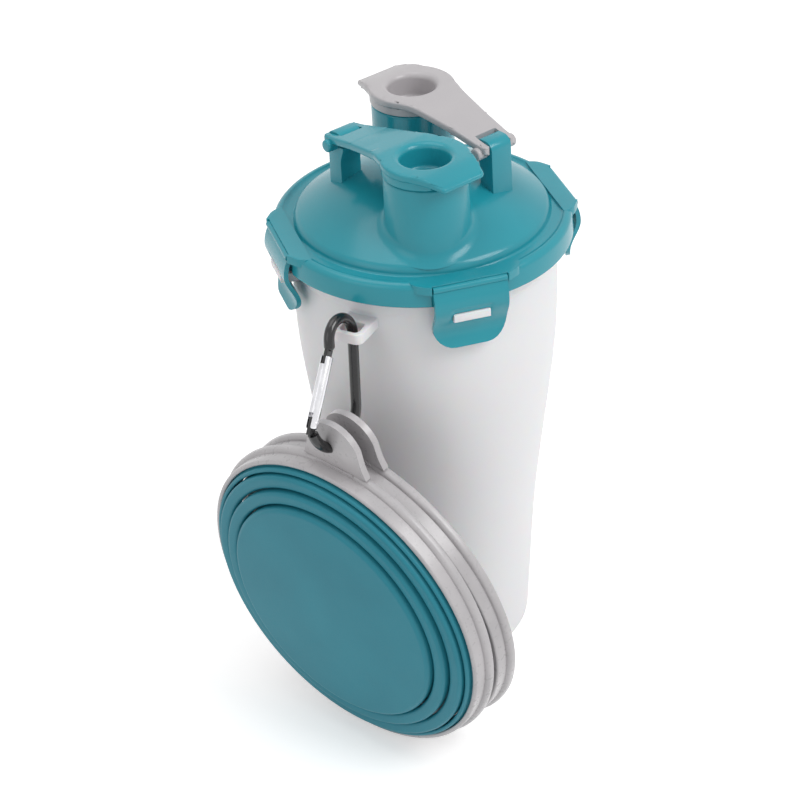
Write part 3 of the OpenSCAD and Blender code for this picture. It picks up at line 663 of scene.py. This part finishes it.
def makeCapPlate(forkIn, forkHalf):
    # the plate is forked at its end, where it holds the post between its ears
    c = cap
    bowlR = c["dimpleR"] + c["lip"]
    side = [(-c["tabReach"], c["tabHalf"], 1.2), (-14.6, 11.9, 1.4), (-11.5, 13.2, 0.9)]
    side += arcPoints(0, c["headR"], range(122, 50, -8))
    side += [(14.5, 12.0, 0), (18, 11.2, 0), (23, 10.4, 0), (32, 9.0, 0), (c["armEnd"], c["armHalf"], 0.9),
             (c["armEnd"], forkHalf, 0.5), (forkIn, forkHalf, 0.5)]
    outline = side + [(x, -y, r) for x, y, r in reversed(side)]
    plate = sheetFace([outline, ringPoints(0, 0, bowlR, 64)])
    cutStrips(plate, 0, -c["tabReach"], c["armEnd"] + 0.4, 1.3)
    thicken(plate, -c["thick"])
    for vert in plate.verts:
        thin = 1 - c["tabThin"] * easeStep(-vert.co.x, 13, c["tabReach"])
        vert.co.z = capTop(vert.co.x) + vert.co.z * thin

    def isRim(vert):
        x, y = vert.co.x, vert.co.y
        return math.hypot(x, y) > bowlR + 0.2 and not (x > forkIn - 1 and abs(y) < forkHalf + 0.6)

    roundEdges(plate, c["edgeRound"], 55, 4, clamp=False, only=lambda e: all(isRim(v) for v in e.verts))
    return plate


def makeCap(name, index, look):
    c = cap
    forkIn, forkHalf = lid["capArm"] - lid["hookR"] - c["pinGap"], lid["postW"] / 2 + c["pinGap"]
    bowlR, under = c["dimpleR"] + c["lip"], c["top"] - c["thick"]
    core = turned([(0, c["floorZ"]), (c["dimpleR"], c["floorZ"], 1.6),
                   (c["dimpleR"], c["top"], c["lip"] - 0.1), (bowlR, c["top"], 0), (bowlR, under),
                   (c["collarR"], under), (c["collarR"], c["collarZ"], 0.5), (c["plugR"], c["collarZ"]),
                   (c["plugR"], c["plugZ"], 0.8), (0, c["plugZ"])], 96)
    pin = rod(c["pinR"], 2 * c["earIn"] + 0.4, 32)
    move(pin, shift(lid["capArm"], 0, lid["pinZ"]) @ upright)
    parts = [makeCapPlate(forkIn, forkHalf), core, pin]
    for way in (1, -1):
        earL = c["earOut"] - c["earIn"]
        ear = turned([(0, 0), (c["earR"], 0), (c["earR"], earL, 0.9), (0, earL)], 40)
        move(ear, shift(lid["capArm"], way * c["earIn"], lid["pinZ"]) @ turnAbout("X", -90 * way))
        near, far = sorted((way * c["earIn"], way * c["webOut"]))
        web = box((lid["capArm"] - c["webHalf"], near, lid["pinZ"] + 0.2),
                  (lid["capArm"] + c["webHalf"], far, lid["pinZ"] + 3.2))
        roundEdges(web, 0.5)
        parts += [ear, web]
    addPiece(joined(parts), name + "Plate", name, look, [name], atCap(index), 38)


makeCap("front_cap", 0, "glossyTeal")
makeCap("back_cap", 1, "glossyGrey")
print("caps made")

hook = {
    "place": (-40.886, -42.191, 170.9), "turn": (11.2, -15.3, -144.7), "barR": 2, "spine": 26,
    "topR": 6.9, "lowR": 13.4, "nose": 2.4, "lowEnd": -26, "pivotTurn": -8, "pivotIn": 1.3,
    "gateR": 2.2, "boreR": 1.5, "gateFoot": 2.2, "gateShort": 3.3, "slitHalf": 0.95, "slitReach": 3.2,
    "tongueT": 1.5, "tongueHalf": 1.7, "tongueRound": 0.3,
    "rivetR": 0.68, "rivetHeadR": 0.95, "rivetHalf": 2.25,
}
pivotArm = hook["lowR"] - hook["pivotIn"]
pivotX = hook["lowR"] + pivotArm * math.cos(math.radians(hook["pivotTurn"]))
pivotZ = pivotArm * math.sin(math.radians(hook["pivotTurn"])) - hook["spine"]
gateRun, gateRise = pivotX - 2 * hook["topR"], -hook["nose"] - pivotZ
gateLength = math.hypot(gateRun, gateRise)
hookFrame = frameAt(hook["place"], hook["turn"])
gateFrame = hookFrame @ shift(pivotX, 0, pivotZ) @ Matrix.Rotation(-math.atan2(gateRun, gateRise), 4, "Y")


def bendSteps(x, z, degrees, count):
    return [shift(x, 0, z) @ turnAbout("Y", degrees / count) @ shift(-x, 0, -z)] * count


def makeHook():
    # the bar runs from the nose round the top bend, down the spine and round the bottom bend
    c = hook
    bar = bmesh.new()
    bmesh.ops.create_circle(bar, cap_ends=True, segments=32, radius=c["barR"])
    nose = shift(2 * c["topR"], 0, -c["nose"])
    move(bar, nose)
    sweep(bar, [shift(0, 0, c["nose"] / 2)] * 2 + bendSteps(c["topR"], 0, -180, 28)
          + [shift(0, 0, -c["spine"] / 4)] * 4 + bendSteps(c["lowR"], -c["spine"], -(180 + c["lowEnd"]), 34))
    move(bar, hookFrame)
    tip = turned([(0, -1.4), (1.0, -1.3, 0.3), (1.9, -0.4, 0.6), (1.9, 1.2, 0.6), (0, 1.2)], 32)
    move(tip, hookFrame @ nose)
    parts = [bar, tip]
    for low, high in ((gateLength - 5.9, gateLength + 1), (-4.6, 2.0)):
        tongue = box((-c["tongueHalf"], -c["tongueT"] / 2, low), (c["tongueHalf"], c["tongueT"] / 2, high))
        roundEdges(tongue, c["tongueRound"])
        move(tongue, gateFrame)
        parts.append(tongue)
    addPiece(joined(parts), "hookBar", "carabiner", "blackPaint", ["carabiner_body"], sharp=40)


def makeGate():
    # a tube with a slit at each end, where a tongue of the bar enters, and the rivet through its foot
    c = hook
    top, bottom, wide, reach = gateLength - c["gateShort"], -c["gateFoot"], c["slitHalf"], c["slitReach"]
    tube = turned([(c["boreR"], 3.0), (c["boreR"], top, 0.2), (c["gateR"], top, 0.45),
                   (c["gateR"], bottom, 0.8), (0, bottom), (0, 3.0)], 48)
    for low, high in ((-3.2, 3.5), (top - 3.0, top + 4)):
        tube = combined(tube, box((-reach, -wide, low), (reach, wide, high)), "DIFFERENCE")
    addPiece(tube, "hookGate", "gate", "gateMetal", ["carabiner_gate"], gateFrame, 35)
    r, headR, half = c["rivetR"], c["rivetHeadR"], c["rivetHalf"]
    rivet = turned([(0, -half), (headR, -half, 0.25), (headR, 0.2 - half), (r, 0.35 - half),
                    (r, half - 0.35), (headR, half - 0.2), (headR, half, 0.25), (0, half)], 32)
    addPiece(rivet, "hookRivet", "carabiner", "brightSteel", ["gate_pin"], gateFrame @ upright, 35)


makeHook()
makeGate()
print("snap hook made")

bowl = {
    "r": 66.2, "bead": 1.75, "band": 1.9, "bandH": 7, "sil": 1.7, "steps": 160,
    "collarR": 61.9, "collarTop": 8.7, "collarH": 7.2, "upperR": 59.6, "upperTop": 10.7,
    "lowerR": 53.7, "lowerTop": 12.7, "baseR": 47.8, "baseTop": 14.7, "baseT": 2,
    "ringW": 5.3, "ringLip": 1.8, "stepH": 10.4,
    "tabT": 2.6, "tabY": 72.5, "tabR": 12.5, "tabHole": 5.6, "tabFoot": 15, "tabFootY": 65.5, "tabIn": 62.7,
    "neckX": 13, "neckY": 69.5, "tabTurn": -3, "tabRound": 0.7,
    "padX": 9, "padLow": 63.2, "padHigh": 65.8, "padT": 0.7, "padRound": 0.3, "padCorner": 1.2,
}
bowlFrames = {
    "front": frameAt((-50.6717, -56.6579, 65.7413), (96.84, 0, -57.54)),
    "rear": frameAt((-38.9464, -49.1784, 65.2519), (99.84, 0, -59.02)),
}


def makeRim(side, place):
    c = bowl
    body, bead, out = side + "_bowl", c["bead"], c["r"] - c["bead"]
    rim = turned([(out - c["band"], -bead, 0.5), (out, -bead, 1.0), (c["r"], -bead, 1.7), (c["r"], bead, 1.7),
                  (out + 0.1, bead + 0.1, 0.4), (out, c["bandH"], 0.8), (out - c["band"], c["bandH"], 0.6)],
                 c["steps"])
    addPiece(rim, side + "BowlRim", body, "rimGrey", [body + "_rim"], place, 40)


def makeTab(side, place):
    # the hanging tab, with a small pad where it meets the rim
    c = bowl
    foot, footY, low = c["tabFoot"], c["tabFootY"], c["tabIn"]
    right = [(-foot, low, 0), (foot, low, 0), (foot, footY, 1.5), (c["neckX"], c["neckY"], 6)]
    left = [(-c["neckX"], c["neckY"], 6), (-foot, footY, 1.5)]
    head = arcPoints(c["tabY"], c["tabR"], range(20, 161, 7))
    tab = slab([right + head + left, ringPoints(0, c["tabY"], c["tabHole"], 48)], c["tabT"])
    roundEdges(tab, c["tabRound"], 60)
    x, padLow, padHigh, r = c["padX"], c["padLow"], c["padHigh"], c["padCorner"]
    pad = sheetFace([[(-x, padLow, r), (x, padLow, r), (x, padHigh, r), (-x, padHigh, r)]])
    thicken(pad, c["padT"])
    roundEdges(pad, c["padRound"], 60)
    move(pad, shift(0, 0, c["tabT"] / 2 - 0.1))
    addPiece(joined([tab, pad]), side + "BowlTab", side + "_bowl", "rimGrey",
             place=place @ turnAbout("Z", c["tabTurn"]), sharp=40)


def makeBowl(side, silicone):
    c = bowl
    place, body, sil, steps = bowlFrames[side], side + "_bowl", c["sil"], c["steps"]
    makeRim(side, place)
    makeTab(side, place)

    r, top, low = c["collarR"], c["collarTop"], c["collarTop"] - c["collarH"]
    collar = turned([(r - sil, low), (r + 0.6, low), (r + 0.6, top - 2.9, 0.3), (r, top - 2.4),
                     (r, top, 0.8), (r - sil, top, 0.7)], steps)
    addPiece(collar, side + "BowlCollar", body, silicone, [body + "_collar"], place, 40)

    for part in ("upper", "lower"):
        r, top = c[part + "R"], c[part + "Top"]
        inside, under, foot = r - c["ringW"], top - sil, top - c["stepH"]
        lip = under - c["ringLip"]
        ring = turned([(r - sil, foot, 0.4), (r, foot, 0.4), (r, top, 1.5), (inside, top, 1.5),
                       (inside, lip, 0.5), (inside + sil, lip, 0.5), (inside + sil, under, 0.6),
                       (r - sil, under, 0.6)], steps)
        node = body + "_" + part + "_ring"
        addPiece(ring, side + "Bowl" + part.title() + "Ring", node, silicone, [node], place, 40)

    r, top = c["baseR"], c["baseTop"]
    under, foot = top - c["baseT"], top - c["stepH"]
    base = turned([(0, under), (r - sil, under, 1.5), (r - sil, foot, 0.5), (r, foot, 0.5),
                   (r, top, 2.0), (0, top)], steps)
    addPiece(base, side + "BowlBase", body + "_base", silicone, [body + "_base"], place, 40)


makeBowl("front", "siliconeTeal")
makeBowl("rear", "siliconeGrey")
print("bowls made")

# The inner pieces keep their CAD shape
kept = {
    "lid_gasket": "sealWhite", "divider_seal": "sealWhite", "front_cap_seal": "sealWhite",
    "back_cap_seal": "sealWhite", "gate_spring": "brightSteel",
}
for name, look in kept.items():
    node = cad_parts[name]
    node.data.materials.clear()
    node.data.materials.append(finish[look])

stage = {
    "floorSize": 6.0, "floorColour": (0.93, 0.93, 0.93), "floorRough": 0.9, "floorShine": 0.1,
    "worldLight": 0.5, "floorLift": 0.4,
}


def seenRays(nodes, links):
    # 1 where the camera looks, straight or through a shine
    path = nodes.new("ShaderNodeLightPath")
    seen = path.outputs["Is Camera Ray"]
    for ray in ("Is Glossy Ray", "Is Transmission Ray"):
        either = nodes.new("ShaderNodeMath")
        either.operation = "MAXIMUM"
        links.new(seen, either.inputs[0])
        links.new(path.outputs[ray], either.inputs[1])
        seen = either.outputs[0]
    return seen


def makeStage():
    bm = bmesh.new()
    bmesh.ops.create_grid(bm, x_segments=1, y_segments=1, size=stage["floorSize"] / 2)
    floor = bpy.data.objects.new("floor", meshFrom(bm, "floor"))
    scene.collection.objects.link(floor)
    material = bpy.data.materials.new("floorPale")
    material.use_nodes = True
    nodes, links = material.node_tree.nodes, material.node_tree.links
    shader = nodes["Principled BSDF"]
    shader.inputs["Base Color"].default_value = (*stage["floorColour"], 1)
    shader.inputs["Roughness"].default_value = stage["floorRough"]
    shader.inputs["Specular IOR Level"].default_value = stage["floorShine"]
    glow = nodes.new("ShaderNodeEmission")
    seen = seenRays(nodes, links)
    lift = nodes.new("ShaderNodeMath")
    lift.operation = "MULTIPLY"
    lift.inputs[1].default_value = stage["floorLift"]
    both = nodes.new("ShaderNodeAddShader")
    links.new(seen, lift.inputs[0])
    links.new(lift.outputs[0], glow.inputs["Strength"])
    links.new(shader.outputs[0], both.inputs[0])
    links.new(glow.outputs[0], both.inputs[1])
    links.new(both.outputs[0], nodes["Material Output"].inputs["Surface"])
    floor.data.materials.append(material)
    world = bpy.data.worlds.new("studio")
    scene.world = world
    world.use_nodes = True
    nodes, links = world.node_tree.nodes, world.node_tree.links
    back = nodes["Background"]
    back.inputs["Color"].default_value = (1, 1, 1, 1)
    seen = seenRays(nodes, links)
    strength = nodes.new("ShaderNodeMapRange")
    strength.inputs["To Min"].default_value = stage["worldLight"]
    strength.inputs["To Max"].default_value = 1.0
    links.new(seen, strength.inputs["Value"])
    links.new(strength.outputs["Result"], back.inputs["Strength"])


lamps = {
    "key": {"place": (0.75, -0.75, 1.15), "size": 0.7, "power": 9},
    "top": {"place": (-0.25, 0.15, 1.4), "size": 0.9, "power": 4},
    "left": {"place": (-1.1, -0.6, 0.7), "size": 0.8, "power": 1.5},
}
lampTarget = Vector((0, 0, 0.12))


def makeLamps():
    for name, s in lamps.items():
        data = bpy.data.lights.new(name, "AREA")
        data.shape = "SQUARE"
        data.size = s["size"]
        data.energy = s["power"]
        lamp = bpy.data.objects.new(name, data)
        lamp.location = s["place"]
        lamp.rotation_euler = (Vector(s["place"]) - lampTarget).to_track_quat("Z", "Y").to_euler()
        scene.collection.objects.link(lamp)


makeStage()
makeLamps()
print("stage and lamps made")
